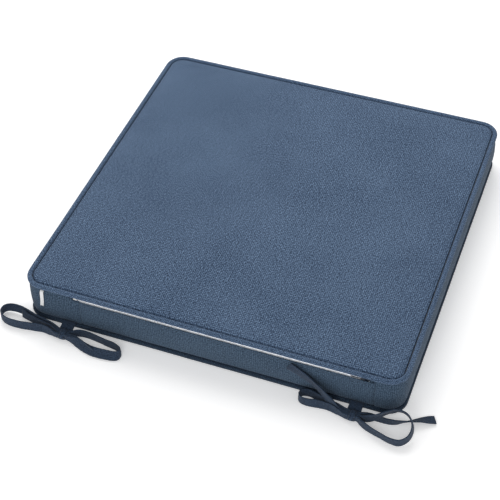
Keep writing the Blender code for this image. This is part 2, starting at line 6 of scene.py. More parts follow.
import bmesh
import bpy
from mathutils import Matrix, Vector, noise
from mathutils.bvhtree import BVHTree


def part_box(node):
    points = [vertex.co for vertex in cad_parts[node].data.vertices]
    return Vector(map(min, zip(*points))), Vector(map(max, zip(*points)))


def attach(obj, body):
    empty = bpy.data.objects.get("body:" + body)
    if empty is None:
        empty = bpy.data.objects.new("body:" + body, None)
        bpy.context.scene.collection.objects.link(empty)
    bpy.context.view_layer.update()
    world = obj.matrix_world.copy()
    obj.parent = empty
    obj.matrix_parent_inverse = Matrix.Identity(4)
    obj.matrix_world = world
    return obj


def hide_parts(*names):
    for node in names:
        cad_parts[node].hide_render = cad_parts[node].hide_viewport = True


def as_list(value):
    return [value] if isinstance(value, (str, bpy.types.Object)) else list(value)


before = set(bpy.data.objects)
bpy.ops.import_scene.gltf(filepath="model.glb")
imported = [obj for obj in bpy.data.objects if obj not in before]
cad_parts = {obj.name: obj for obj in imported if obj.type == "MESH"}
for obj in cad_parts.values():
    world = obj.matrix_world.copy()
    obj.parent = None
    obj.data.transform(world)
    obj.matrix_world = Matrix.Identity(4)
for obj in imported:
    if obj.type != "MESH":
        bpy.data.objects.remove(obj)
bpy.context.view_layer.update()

MM = 0.001
pipe_low, pipe_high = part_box("top_piping_cover")
HALF_WIDTH = pipe_high.x
HALF_DEPTH = pipe_high.y
PAD_HEIGHT = pipe_high.z
PIPE_RADIUS = (pipe_high.z - pipe_low.z) / 2
CORNER_RADIUS = 26 * MM
CLOTH = 0.8 * MM
SEAM_INSET = 2 * PIPE_RADIUS + 0.35 * MM    # where the panel's cloth goes down behind the piping
SEAM_DROP = 3.1 * MM
WALL_TOP_INSET = 4.28 * MM                  # where the side wall comes out below the piping
WALL_TOP_DROP = 7.44 * MM
WALL_MIDDLE_INSET = 0.8 * MM
HEM_TOP_DROP = 11.3 * MM                    # the folded edge of the rear wall, below the zip
HEM_INSET = 1.3 * MM
PANEL_HALF = HALF_WIDTH - SEAM_INSET
PANEL_CORNER = CORNER_RADIUS - SEAM_INSET
INNER_X = HALF_WIDTH - CORNER_RADIUS        # where the straight edges end
INNER_Y = HALF_DEPTH - CORNER_RADIUS
REAR_SEAM_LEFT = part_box("rear_boxing")[0].x + 6 * MM
REAR_SEAM_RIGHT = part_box("rear_boxing")[1].x
ZIP_END_LEFT = REAR_SEAM_LEFT - 8 * MM      # the zip is seen a little way past the seam
TIE_WIDTH = 13.2 * MM
TIE_THICKNESS = 1.5 * MM


# --- Camera and light ---

CAMERA_PLACE = (0.4292, -1.2197, 1.2774)
CAMERA_AZIMUTH, CAMERA_ELEVATION, CAMERA_ROLL, VIEW_ANGLE = 20.9, 45.45, -0.9, 21.58
WORLD_STRENGTH = 0.42


def aim_camera():
    data = bpy.data.cameras.new("camera")
    data.angle = math.radians(VIEW_ANGLE)
    data.clip_start, data.clip_end = 0.05, 50
    camera = bpy.data.objects.new("camera", data)
    bpy.context.scene.collection.objects.link(camera)
    camera.matrix_world = (Matrix.Translation(CAMERA_PLACE)
                           @ Matrix.Rotation(math.radians(CAMERA_AZIMUTH), 4, "Z")
                           @ Matrix.Rotation(math.radians(90 - CAMERA_ELEVATION), 4, "X")
                           @ Matrix.Rotation(math.radians(CAMERA_ROLL), 4, "Z"))
    bpy.context.scene.camera = camera


def area_light(name, place, target, size, power):
    data = bpy.data.lights.new(name, "AREA")
    data.shape = "SQUARE"
    data.size = size
    data.energy = power
    light = bpy.data.objects.new(name, data)
    bpy.context.scene.collection.objects.link(light)
    light.location = place
    light.rotation_euler = (Vector(target) - Vector(place)).to_track_quat("-Z", "Y").to_euler()


def light_studio():
    scene = bpy.context.scene
    scene.view_settings.view_transform = "Standard"
    world = bpy.data.worlds.new("studio")
    scene.world = world
    world.use_nodes = True
    background = world.node_tree.nodes["Background"].inputs
    background["Color"].default_value = (1, 1, 1, 1)
    background["Strength"].default_value = WORLD_STRENGTH
    area_light("overhead_softbox", (-0.55, 1.05, 1.5), (-0.05, 0.05, 0), 1.5, 24)
    area_light("front_softbox", (0.3, -2.2, 1.45), (0, -0.25, 0.03), 0.9, 14.5)


aim_camera()
light_studio()


# --- Materials ---

def srgb(red, green, blue):
    """A colour given as screen values from 0 to 255."""
    def linear(value):
        value /= 255
        return value / 12.92 if value <= 0.04045 else ((value + 0.055) / 1.055) ** 2.4
    return (linear(red), linear(green), linear(blue), 1.0)


class Shading:
    """Adds nodes to one node tree."""

    def __init__(self, tree):
        self.tree = tree

    def node(self, kind, values=None, **settings):
        made = self.tree.nodes.new("ShaderNode" + kind)
        for name, setting in settings.items():
            setattr(made, name, setting)
        for socket, value in (values or {}).items():
            self.put(value, made.inputs[socket])
        return made

    def put(self, value, socket):
        if isinstance(value, bpy.types.NodeSocket):
            self.tree.links.new(value, socket)
        else:
            socket.default_value = value

    def math(self, operation, first, second=0.0):
        return self.node("Math", {0: first, 1: second}, operation=operation).outputs[0]

    def add(self, first, second):
        return self.math("ADD", first, second)

    def times(self, first, second):
        return self.math("MULTIPLY", first, second)

    def mix(self, share, first, second):
        made = self.node("Mix", data_type="RGBA")
        for socket, value in zip((0, 6, 7), (share, first, second)):
            self.put(value, made.inputs[socket])
        return made.outputs[2]

    def spread(self, value, low, high, to_low=0.0, to_high=1.0):
        return self.node("MapRange", {"Value": value, "From Min": low, "From Max": high,
                                      "To Min": to_low, "To Max": to_high}).outputs[0]

    def noise(self, vector, scale, detail=2.0, roughness=0.5):
        return self.node("TexNoise", {"Vector": vector, "Scale": scale, "Detail": detail,
                                      "Roughness": roughness}).outputs["Fac"]

    def scaled(self, vector, factors, turn=0.0):
        return self.node("Mapping", {"Vector": vector, "Scale": factors,
                                     "Rotation": (0, 0, turn)}).outputs[0]

    def group(self, tree, values):
        made = self.tree.nodes.new("ShaderNodeGroup")
        made.node_tree = tree
        for socket, value in values.items():
            self.put(value, made.inputs[socket])
        return made


def new_group(name, inputs, outputs):
    """A node group with named sockets, and the shading helper to fill it."""
    tree = bpy.data.node_groups.new(name, "ShaderNodeTree")
    for socket, kind, value in inputs:
        made = tree.interface.new_socket(socket, in_out="INPUT", socket_type="NodeSocket" + kind)
        if value is not None:
            made.default_value = value
    for socket, kind in outputs:
        tree.interface.new_socket(socket, in_out="OUTPUT", socket_type="NodeSocket" + kind)
    shading = Shading(tree)
    entry = tree.nodes.new("NodeGroupInput")
    leave = tree.nodes.new("NodeGroupOutput")
    return tree, shading, entry.outputs, leave.inputs


def weave_group():
    """Plain weave in metres: uneven yarns over and under, with thick slubs and pale flecks. Pale on
    the yarn crowns is painted highlight, deep in the hollows between them painted shade.
    """
    tree, s, given, out = new_group(
        "plain weave",
        [("Cloth position", "Vector", None), ("Warp pitch", "Float", 0.002),
         ("Weft pitch", "Float", 0.002), ("Slubs", "Float", 0.5),
         ("Yarn colour", "Color", None), ("Pale yarn and crown highlight", "Color", None),
         ("Deep yarn and hollow shade", "Color", None)],
        [("Colour", "Color"), ("Height", "Float"), ("Roughness", "Float")])
    place = given["Cloth position"]
    wander = s.noise(s.scaled(place, (60, 60, 1)), 1.0, 2)
    parts = s.node("SeparateXYZ", {0: place}).outputs
    across = s.add(s.math("DIVIDE", parts[0], given["Warp pitch"]), s.times(wander, 0.9))
    along = s.add(s.math("DIVIDE", parts[1], given["Weft pitch"]), s.times(wander, 0.7))
    ridge_x = s.math("SINE", s.times(across, math.pi))
    ridge_y = s.math("SINE", s.times(along, math.pi))
    over = s.spread(s.times(ridge_x, ridge_y), -0.25, 0.25)
    warp = s.math("ABSOLUTE", ridge_x)
    weft = s.math("ABSOLUTE", ridge_y)
    yarns = s.add(s.times(warp, over), s.times(weft, s.math("SUBTRACT", 1.0, over)))
    slub = s.spread(s.noise(s.scaled(place, (28, 520, 1)), 1.0, 3, 0.6), 0.52, 0.72)
    slub_up = s.spread(s.noise(s.scaled(place, (560, 34, 1)), 1.0, 3, 0.6), 0.56, 0.74)
    slubs = s.times(s.math("MAXIMUM", slub, s.times(slub_up, 0.6)), given["Slubs"])
    fuzz = s.noise(s.scaled(place, (1400, 1400, 1)), 1.0, 2, 0.7)
    height = s.add(s.times(yarns, 0.7), s.times(slubs, 0.5))
    s.put(s.add(height, s.times(fuzz, 0.25)), out["Height"])
    fleck = s.noise(s.scaled(place, (500, 640, 1)), 1.0, 2, 0.6)
    # Painted highlight: the pale colour goes on the raised crowns of the yarns, in flecks that vary
    # at random, and on the slubs.
    crown_highlight = s.times(s.spread(fleck, 0.42, 0.66), s.spread(yarns, 0.25, 0.9))
    pale = s.add(s.times(crown_highlight, 0.95), s.times(slubs, 0.3))
    # Painted shade: the deep colour goes in the hollows between the yarns, besides dark flecks at
    # random.
    deep = s.add(s.spread(fleck, 0.5, 0.3, 0.0, 0.75), s.spread(yarns, 0.55, 0.1, 0.0, 0.7))
    cloudy = s.noise(s.scaled(place, (9, 9, 1)), 1.0, 3, 0.55)
    worn = s.mix(s.spread(cloudy, 0.35, 0.65, 0.0, 0.16), given["Yarn colour"],
                 given["Pale yarn and crown highlight"])
    colour = s.mix(s.math("MINIMUM", pale, 1.0), worn, given["Pale yarn and crown highlight"])
    s.put(s.mix(s.math("MINIMUM", deep, 1.0), colour, given["Deep yarn and hollow shade"]), out["Colour"])
    s.put(s.spread(yarns, 0.0, 1.0, 0.95, 0.8), out["Roughness"])
    return tree


def grain_group():
    """Fine uneven grain at a size in metres, for enamel, foam, fibre and thread."""
    tree, s, given, out = new_group(
        "fine grain",
        [("Place", "Vector", None), ("Size", "Float", 0.001), ("Stretch", "Vector", (1, 1, 1))],
        [("Grain", "Float"), ("Cells", "Float")])
    place = s.node("VectorMath", {0: given["Place"], 1: given["Stretch"]},
                   operation="MULTIPLY").outputs[0]
    scale = s.math("DIVIDE", 1.0, given["Size"])
    s.put(s.noise(place, scale, 3, 0.6), out["Grain"])
    s.put(s.node("TexVoronoi", {"Vector": place, "Scale": scale}).outputs["Distance"],
          out["Cells"])
    return tree


WEAVE = weave_group()
GRAIN = grain_group()


def new_material(name, **constants):
    """A material with its Principled shader, and the constant values that it holds."""
    material = bpy.data.materials.new(name)
    material.use_nodes = True
    shader = material.node_tree.nodes["Principled BSDF"]
    for socket, value in constants.items():
        shader.inputs[socket.replace("_", " ")].default_value = value
    return material, Shading(material.node_tree), shader


def raise_surface(s, shader, height, distance, strength=1.0):
    bump = s.node("Bump", {"Height": height, "Distance": distance, "Strength": strength})
    s.put(bump.outputs[0], shader.inputs["Normal"])


def grained_colour(s, shader, relief, low, high, first, second):
    """A base colour that goes from the first to the second as the relief rises."""
    s.put(s.mix(s.spread(relief, low, high), srgb(*first), srgb(*second)),
          shader.inputs["Base Color"])


def grained_roughness(s, shader, grain, smoothest, roughest):
    s.put(s.spread(grain, 0.3, 0.7, smoothest, roughest), shader.inputs["Roughness"])


def woven(name, yarn, pale, deep, warp, weft, slubs, bump, sheen=0.25, turn=0.0):
    """Woven cloth whose pattern follows the piece's own UV map. Its yarns are in millimetres."""
    material, s, shader = new_material(
        name, Sheen_Weight=sheen, Sheen_Roughness=0.5, Specular_IOR_Level=0.25)
    source = s.node("TexCoord").outputs["UV"]
    if turn:
        source = s.scaled(source, (1, 1, 1), turn)
    weave = s.group(WEAVE, {
        "Cloth position": source, "Warp pitch": warp * MM, "Weft pitch": weft * MM,
        "Slubs": slubs, "Yarn colour": srgb(*yarn), "Pale yarn and crown highlight": srgb(*pale),
        "Deep yarn and hollow shade": srgb(*deep)})
    s.put(weave.outputs["Colour"], shader.inputs["Base Color"])
    s.put(weave.outputs["Roughness"], shader.inputs["Roughness"])
    raise_surface(s, shader, weave.outputs["Height"], bump * MM)
    return material


def enamel(name, colour, bare, worn):
    """Painted metal, rubbed bare in small spots and along scratches."""
    material, s, shader = new_material(name, Coat_Weight=0.3, Coat_Roughness=0.15)
    place = s.node("TexCoord").outputs["Object"]
    fine = s.group(GRAIN, {"Place": place, "Size": 0.0006}).outputs
    broad = s.group(GRAIN, {"Place": place, "Size": 0.004,
                            "Stretch": (0.35, 1, 1)}).outputs
    rubbed = s.times(s.spread(broad["Grain"], 0.56, 0.66), worn)
    s.put(s.mix(rubbed, srgb(*colour), srgb(*bare)), shader.inputs["Base Color"])
    s.put(s.spread(rubbed, 0.0, 1.0, 0.2, 0.95), shader.inputs["Metallic"])
    grained_roughness(s, shader, fine["Grain"], 0.24, 0.42)
    raise_surface(s, shader, fine["Grain"], 0.02 * MM, 0.6)
    return material


def fibrous(name, colour, shade, size, stretch=(1, 1, 1), bump=0.4, cells=False, sheen=0.2):
    """Thread, cotton cord, wadding or foam."""
    material, s, shader = new_material(name, Sheen_Weight=sheen, Roughness=0.85,
                                       Specular_IOR_Level=0.3)
    place = s.node("TexCoord").outputs["Object"]
    grain = s.group(GRAIN, {"Place": place, "Size": size, "Stretch": stretch}).outputs
    relief = grain["Cells" if cells else "Grain"]
    grained_colour(s, shader, relief, 0.25, 0.75, shade, colour)
    grained_roughness(s, shader, grain["Grain"], 0.78, 0.95)
    raise_surface(s, shader, relief, bump * MM)
    return material


def nylon(name):
    """Smooth moulded thread of the zip's coils, a little grubby in places. Its faint glow is
    painted light that keeps the coils bright white in their shaded slot.
    """
    # Painted light: the emission makes the coils glow bright white in the shaded slot between the
    # piping and the hem.
    material, s, shader = new_material(name, Coat_Weight=0.2, Coat_Roughness=0.2,
                                       Emission_Strength=0.7)
    shader.inputs["Emission Color"].default_value = srgb(244, 247, 255)
    place = s.node("TexCoord").outputs["Object"]
    grain = s.group(GRAIN, {"Place": place, "Size": 0.003}).outputs["Grain"]
    grained_colour(s, shader, grain, 0.4, 0.7, (238, 240, 243), (216, 219, 224))
    grained_roughness(s, shader, grain, 0.3, 0.5)
    raise_surface(s, shader, grain, 0.05 * MM, 0.4)
    return material


def satin(name):
    """White woven satin: long floats that run down the tag."""
    material, s, shader = new_material(name, Sheen_Weight=0.3, Specular_IOR_Level=0.5,
                                       Anisotropic=0.4)
    place = s.node("TexCoord").outputs["UV"]
    floats = s.group(GRAIN, {"Place": place, "Size": 0.0005,
                             "Stretch": (1.0, 0.12, 1.0)}).outputs["Grain"]
    grained_colour(s, shader, floats, 0.3, 0.7, (228, 230, 233), (247, 248, 249))
    grained_roughness(s, shader, floats, 0.38, 0.55)
    raise_surface(s, shader, floats, 0.05 * MM)
    return material


SEAT_CLOTH = woven("seat cloth", (57, 79, 107), (130, 156, 188), (10, 22, 45),
                   warp=2.4, weft=2.6, slubs=0.45, bump=0.4, sheen=0.05)
# A darker, duller copy of the seat cloth: painted shade for the side walls, which face away from
# the overhead light.
SIDE_CLOTH_PAINTED_SHADE = woven("side wall cloth, painted shade", (53, 73, 94), (92, 115, 138), (18, 31, 47),
                   warp=2.4, weft=2.6, slubs=0.4, bump=0.35, sheen=0.05)
ON_THE_BIAS = {"warp": 2.3, "weft": 2.3, "slubs": 0.3, "turn": math.radians(45), "bump": 0.25}
PIPING_CLOTH = woven("bias piping cloth", (60, 82, 110), (120, 145, 176), (20, 34, 57),
                     sheen=0.08, **ON_THE_BIAS)
# A darker copy of the piping cloth for the lower piping: painted shade, so that its lit upper side
# shows no highlight.
PIPING_CLOTH_PAINTED_SHADE_BELOW = woven("bias piping cloth, painted shade below", (37, 52, 70), (60, 79, 100), (15, 25, 40),
                         sheen=0.05, **ON_THE_BIAS)
TIE_CLOTH = woven("tie cloth", (40, 55, 75), (62, 80, 103), (20, 31, 46),
                  warp=1.7, weft=1.9, slubs=0.35, bump=0.22, sheen=0.1)
ZIP_TAPE_CLOTH = woven("zip tape", (226, 229, 233), (242, 243, 245), (188, 193, 200),
                       warp=0.7, weft=0.9, slubs=0.1, bump=0.1)
NYLON_PAINTED_GLOW = nylon("coil nylon, painted glow")
ENAMEL = enamel("navy enamel", (34, 44, 58), (188, 190, 194), 0.7)
BARE_METAL = enamel("zip stop metal", (150, 152, 156), (205, 206, 209), 0.5)
SATIN = satin("label satin")
NAVY_THREAD = fibrous("navy thread", (66, 82, 104), (40, 52, 70), 0.0003, (0.2, 1, 1), 0.06)
COTTON_CORD = fibrous("cotton filler cord", (232, 228, 216), (190, 184, 168), 0.0011,
                      (0.35, 1, 1))
FOAM = fibrous("cut foam", (236, 226, 196), (196, 182, 146), 0.0012, bump=0.5, cells=True)
WADDING = fibrous("polyester wadding", (244, 245, 246), (214, 217, 220), 0.002,
                  (0.25, 1, 1), 0.8)


# --- Making pieces ---

def cloth_grid(columns, rows, place, measure):
    """A grid of cloth bent into shape: place(i, j) puts its corner i, j, measure(i, j) is where
    that corner lies on the flat cloth, in metres, and becomes the UV map."""
    bm = bmesh.new()
    bmesh.ops.create_grid(bm, x_segments=columns, y_segments=rows, size=1)
    uv = bm.loops.layers.uv.new("UVMap")
    corner = {vert: (round((vert.co.x + 1) / 2 * columns), round((vert.co.y + 1) / 2 * rows))
              for vert in bm.verts}
    for face in bm.faces:
        for loop in face.loops:
            loop[uv].uv = measure(*corner[loop.vert])
    for vert, (i, j) in corner.items():
        vert.co = place(i, j)
    return bm


def join_ends(bm):
    """Merges the ends of a grid that was bent round until they meet."""
    bmesh.ops.remove_doubles(bm, verts=bm.verts[:], dist=1e-6)


def close_ends(bm):
    edges = [edge for edge in bm.edges if edge.is_boundary]
    bmesh.ops.holes_fill(bm, edges=edges, sides=0)


def point_outwards(bm):
    """Turns an open sheet over if most of it faces towards the pad's centre."""
    bm.normal_update()
    centre = Vector((0, 0, PAD_HEIGHT / 2))
    facing = sum((face.calc_center_median() - centre).dot(face.normal) * face.calc_area()
                 for face in bm.faces)
    if facing < 0:
        bmesh.ops.reverse_faces(bm, faces=bm.faces[:])


def add_object(name, bm):
    mesh = bpy.data.meshes.new(name)
    bm.to_mesh(mesh)
    bm.free()
    made = bpy.data.objects.new(name, mesh)
    bpy.context.scene.collection.objects.link(made)
    return made


def running_total(lengths):
    return [0.0, *accumulate(lengths)]


def finish_piece(name, bm, material, body, replaced=(), closed=True, smooth=True):
    if closed:
        bmesh.ops.recalc_face_normals(bm, faces=bm.faces[:])
    else:
        point_outwards(bm)
    piece = add_object(name, bm)
    if smooth:
        piece.data.shade_smooth()
    piece.data.materials.append(material)
    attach(piece, body)
    if replaced:
        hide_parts(*replaced)
    return piece


def thicken(piece, thickness=CLOTH):
    made = piece.modifiers.new("cloth thickness", "SOLIDIFY")
    made.thickness = thickness
    made.offset = -1
    made.use_even_offset = False


def waver(x, y=0.0, z=0.0, seed=0.0):
    """A smooth uneven value from about -1 to 1."""
    return noise.noise(Vector((x, y, z + 17.3 * seed)))


def smoothly(share):
    share = min(1.0, max(0.0, share))
    return share * share * (3 - 2 * share)


# --- Ties ---

LEFT_KNOT = Vector((-190, -273.5, 6.4))
RIGHT_KNOT = Vector((196.5, -272.5, 6.4))
KNOT_HALF = Vector((7.5, 6.0, 5.7))
WRAP_HALF = 3.9
STEM_SPACING = 4.2          # from the knot's middle to each strip's way out of the seam
ROUTE_SPACING = 2.0
NARROWING = 0.35            # how much narrower and thicker a strip is where it is held
BUNCHING = 0.9
KNOT_REACH, SEAM_REACH = 9, 13
KNOT_SPREAD, SEAM_SPREAD = 14, 8

# Each route is in millimetres, with the strip's lean in degrees: 0 on edge, 90 lying flat.
LEFT_LOOP_OUTER = (
    (-197.9, -277.2, 6.9, 0), (-205.9, -275.5, 6.8, 4), (-218.8, -273.5, 6.8, 8),
    (-234.6, -275.5, 6.8, 8), (-251.5, -278, 6.8, 6), (-267.3, -277.5, 6.8, 4),
    (-278.7, -272.5, 6.8, 0), (-282.6, -265, 7.0, 0), (-280.2, -258, 7.3, 0),
    (-271.3, -254.5, 7.8, -4), (-258.4, -255, 8.3, -8), (-245.5, -258.2, 8.4, -10),
    (-233.6, -261.6, 8.0, -8), (-219.8, -263.6, 7.4, -4), (-207.9, -265.2, 7.0, 0),
    (-197.9, -269.2, 6.9, 0))
LEFT_LOOP_INNER = (
    (-182.3, -277.2, 6.9, 0), (-175.2, -278.3, 6.8, -10), (-164.3, -281.5, 6.8, -26),
    (-151.5, -285.2, 6.4, -34), (-141, -286.6, 6.2, -40), (-128, -286.2, 6.2, -40),
    (-113.5, -284.6, 6.4, -30), (-108.6, -280.5, 6.8, -8), (-109.4, -274.5, 6.8, 0),
    (-118.8, -270.3, 6.8, 0), (-132.7, -268, 6.8, 0), (-148.5, -265.2, 6.8, 0),
    (-164.3, -264, 6.8, 0), (-174.2, -266, 6.8, 0), (-182.3, -269.8, 6.9, 0))
LEFT_TAIL_OUTER = (
    (-197.9, -272.4, 6.7, 0), (-207.9, -268.8, 6.7, 0), (-219.8, -266.6, 6.7, 0),
    (-233.6, -264.8, 6.9, 4), (-245.5, -262.2, 7.2, 6), (-255.4, -259.2, 7.4, 6))
LEFT_TAIL_INNER = (
    (-182.3, -273.8, 6.7, 0), (-172.3, -274.6, 6.7, 6), (-162.4, -277.4, 6.8, 12),
    (-151.5, -282.4, 6.8, 14), (-141.6, -286, 6.8, 14))
RIGHT_LOOP_INNER = (
    (188.7, -276.1, 6.9, 0), (178.7, -273.1, 6.8, 0), (166.7, -270, 6.8, 4),
    (151.9, -270, 6.8, 6), (139, -272, 6.8, 4), (130, -271, 6.9, 0),
    (126, -266, 7.2, 0), (128.5, -260.7, 7.8, 0), (137, -259.1, 8.4, 0),
    (148.9, -261.5, 8.8, 0), (161.8, -264.5, 8.6, 0), (174.7, -266.7, 8.0, 0),
    (188.7, -268.9, 7.0, 0))
RIGHT_LOOP_OUTER = (
    (204.4, -276.1, 6.9, 0), (211.4, -281, 6.8, 0), (222.3, -286, 6.8, 4),
    (236.2, -290, 6.8, 8), (249.1, -293.5, 6.8, 8), (260, -293.5, 7.2, 4), (268, -287.5, 9, 0),
    (271.4, -279, 12.5, -6), (270, -269.5, 17, -14), (264, -262.5, 21, -22),
    (255.1, -259.5, 23.5, -28), (245.1, -261, 23.5, -26), (235.2, -266.5, 20.5, -20),
    (225.3, -272, 16, -12), (214.4, -273.7, 9.6, -4), (208.4, -272.9, 7.4, 0),
    (204.4, -272.5, 7, 0))
RIGHT_TAIL_INNER = (
    (188.7, -272.5, 6.9, 0), (177.7, -270.7, 7.9, 0), (169.7, -268.5, 12.6, 0),
    (162.8, -266.9, 18.6, 0), (152.8, -262.9, 24.5, -10), (139, -258.5, 31, -12),
    (124.1, -256.7, 38.5, -6), (109.2, -256.1, 46, 0))
RIGHT_TAIL_OUTER = (
    (204.4, -268.7, 6.7, 0), (212.4, -266.7, 6.7, 0), (224.3, -266.5, 6.7, 4),
    (238.2, -267, 6.7, 8), (251.1, -264.3, 6.6, 20), (262, -258.5, 6, 38),
    (272.9, -251.5, 4.6, 58), (283.9, -245.5, 3.2, 74), (291.8, -241.5, 1.8, 84))


def stem_route(knot, shift):
    """From the crease over the lower piping, out across it and into the knot's back."""
    x = knot.x + shift
    seam_y = 2.4 - HALF_DEPTH / MM
    back_y = knot.y + KNOT_HALF.y + 0.8
    return ((x, seam_y, 8.5, 90), (x, (2 * seam_y + back_y) / 3, 8.5, 90),
            (x, (seam_y + 2 * back_y) / 3, 7.8, 90), (x, back_y, 6.6, 90))


def smooth_route(points):
    """Evenly spaced places and leans on a smooth curve through a route."""
    marks = [Vector(point) for point in points]
    marks = [2 * marks[0] - marks[1]] + marks + [2 * marks[-1] - marks[-2]]
    dense = []
    for before, here, there, after in zip(marks, marks[1:], marks[2:], marks[3:]):
        for step in range(12):
            t = step / 12
            dense.append(0.5 * (2 * here + (there - before) * t
                                + (2 * before - 5 * here + 4 * there - after) * t * t
                                + (3 * here - before - 3 * there + after) * t ** 3))
    dense.append(marks[-2])
    run = running_total((there.xyz - here.xyz).length for here, there in zip(dense, dense[1:]))
    count = round(run[-1] / ROUTE_SPACING)
    route, index = [], 0
    for step in range(count + 1):
        place = run[-1] * step / count
        while index < len(run) - 2 and run[index + 1] < place:
            index += 1
        share = (place - run[index]) / (run[index + 1] - run[index])
        route.append(dense[index].lerp(dense[index + 1], share))
    return route


# The strip's outline: share of half its width, share of half its thickness.
STRIP_OUTLINE = ((0, 1), (0.35, 0.93), (0.7, 1.0), (0.88, 1.12), (0.97, 0.8), (1.0, 0.0),
                 (0.97, -0.8), (0.88, -1.12), (0.7, -1.0), (0.35, -0.93))
STRIP_OUTLINE += tuple((-across, -out) for across, out in STRIP_OUTLINE)


def strip_between(route, knot, seed):
    """A folded and stitched strip of cloth along a route, kept above the floor and gathered
    where the knot and the seam hold it."""
    places = []
    for point in route:
        lean = math.radians(point.w)
        tall = (TIE_WIDTH * abs(math.cos(lean)) + TIE_THICKNESS * abs(math.sin(lean))) / MM
        places.append(Vector((point.x, point.y, max(point.z, 0.1 + tall / 2))) * MM)
    frames = []
    for index, point in enumerate(route):
        along = (places[min(index + 1, len(places) - 1)] - places[max(index - 1, 0)]).normalized()
        aside = along.cross(Vector((0, 0, 1))).normalized()
        above = aside.cross(along)
        lean = math.radians(point.w)
        width_way = above * math.cos(lean) + aside * math.sin(lean)
        frames.append((width_way, width_way.cross(along).normalized()))
    outline = STRIP_OUTLINE + STRIP_OUTLINE[:1]
    run = running_total((there - here).length for here, there in zip(places, places[1:]))
    width_run = running_total(
        math.hypot((c - a) * TIE_WIDTH / 2, (d - b) * TIE_THICKNESS / 2)
        for (a, b), (c, d) in zip(outline, outline[1:]))

    def place(i, j):
        width_way, thick_way = frames[j]
        across, out = outline[i]
        from_knot = (places[j] / MM - knot).length
        held = max(1 - smoothly((from_knot - KNOT_REACH) / KNOT_SPREAD),
                   1 - smoothly((run[j] / MM - SEAM_REACH) / SEAM_SPREAD))
        half_width = TIE_WIDTH / 2 * (1 - NARROWING * held)
        half_thick = TIE_THICKNESS / 2 * (1 + BUNCHING * held)
        crease = waver(run[j] * 75, across * 1.3, seed=seed) * 0.5 * MM
        crimp = waver(run[j] * 260, across * 4, seed=seed + 3) * 0.16 * MM
        edge = waver(run[j] * 120, seed=seed + 5) * 0.35 * MM * abs(across)
        return (places[j] + width_way * (half_width * across + math.copysign(edge, across))
                + thick_way * (half_thick * out + crease * (1 - held) + crimp))

    bm = cloth_grid(len(outline) - 1, len(places) - 1, place,
                    lambda i, j: (run[j], width_run[i]))
    join_ends(bm)
    close_ends(bm)
    return bm, places


def tie_strip(name, knot, shift, loop, tail, replaced, seed):
    """One tie: out of the seam, through the knot, round its loop, through it again to its tail."""
    stem = stem_route(knot, shift)
    loop_in, loop_out, tail_in = Vector(loop[0]), Vector(loop[-1]), Vector(tail[0])
    side = math.copysign(1, loop_in.x - knot.x)
    inside_first = ((knot.x + shift * 0.4, knot.y + 1.5, 6.5, 60),
                    (knot.x + side * 2, knot.y - 2.6, 6.8, 15))
    inside_second = ((knot.x + side * 3.5, loop_out.y + 0.3, 6.6, 0),
                     (knot.x - side * 3.5, (loop_out.y + tail_in.y) / 2, 6.6, 0))
    route = smooth_route(stem + inside_first + loop + inside_second + tail)
    bm, places = strip_between(route, knot, seed)
    return finish_piece(name, bm, TIE_CLOTH, "pad", replaced), places


WRAP_OUTLINE = ((-1, 0), (-0.6, 0.8), (0, 1), (0.6, 0.8), (1, 0), (0.6, -0.6), (0, -0.8),
                (-0.6, -0.6), (-1, 0))


def tie_knot(name, knot, replaced):
    """The lump of a bow's knot with the strip wrapped round its middle."""
    lump = bmesh.new()
    bmesh.ops.create_uvsphere(lump, u_segments=32, v_segments=20, radius=1)
    uv = lump.loops.layers.uv.verify()
    for face in lump.faces:
        for loop in face.loops:
            loop[uv].uv = (loop.vert.co.x * KNOT_HALF.x * MM,
                           math.atan2(loop.vert.co.z, loop.vert.co.y) * KNOT_HALF.z * MM)
    for vert in lump.verts:
        place = vert.co.copy()
        fold = math.sin(place.x * 7 + place.z * 3.4 + 1.3 * waver(*place * 2)) * 0.07
        waist = 1 + 0.2 * math.exp(-(place.x / 0.42) ** 2) - 0.1
        squared = Vector(math.copysign(abs(c) ** 0.72, c) for c in place)
        vert.co = Vector((squared.x * KNOT_HALF.x * (1 + 0.05 * waver(*place * 3)),
                          squared.y * KNOT_HALF.y * (waist + fold),
                          squared.z * KNOT_HALF.z * (waist + fold))) * MM + knot * MM
    around = 40

    def place(i, j):
        turn = math.tau * j / around
        across, out = WRAP_OUTLINE[i]
        slant = 1.0 * math.sin(turn + 0.6)
        reach = 1.1 + 0.1 * out + 0.02 * waver(turn, across)
        return (knot + Vector((across * WRAP_HALF + slant + 0.3 * waver(turn * 2, across, 2),
                               math.cos(turn) * KNOT_HALF.y * reach,
                               math.sin(turn) * KNOT_HALF.z * reach * 0.97))) * MM

    wrap = cloth_grid(len(WRAP_OUTLINE) - 1, around, place,
                      lambda i, j: (j * 0.9 * MM, i * 1.2 * MM))
    join_ends(wrap)
    bmesh.ops.recalc_face_normals(wrap, faces=wrap.faces[:])
    band = finish_piece(name + "_wrap", wrap, TIE_CLOTH, "pad")
    core = finish_piece(name, lump, TIE_CLOTH, "pad", replaced)
    return core, band


def make_bow(side, knot, first, second):
    core, band = tie_knot(f"{side}_bow_knot", knot, [f"{side}_tie_knot"])
    for letter, shift, loop, tail, replaced, own in (
            ("a", -STEM_SPACING, *first, (core, band)), ("b", STEM_SPACING, *second, ())):
        strip, places = tie_strip(
            f"{side}_tie_strip_{letter}", knot, shift, loop, tail,
            [f"{side}_tie_{part}" for part in replaced], ord(letter) + len(side))
        tuple(places[0])
        [tuple(place) for place in places]
        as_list(own)


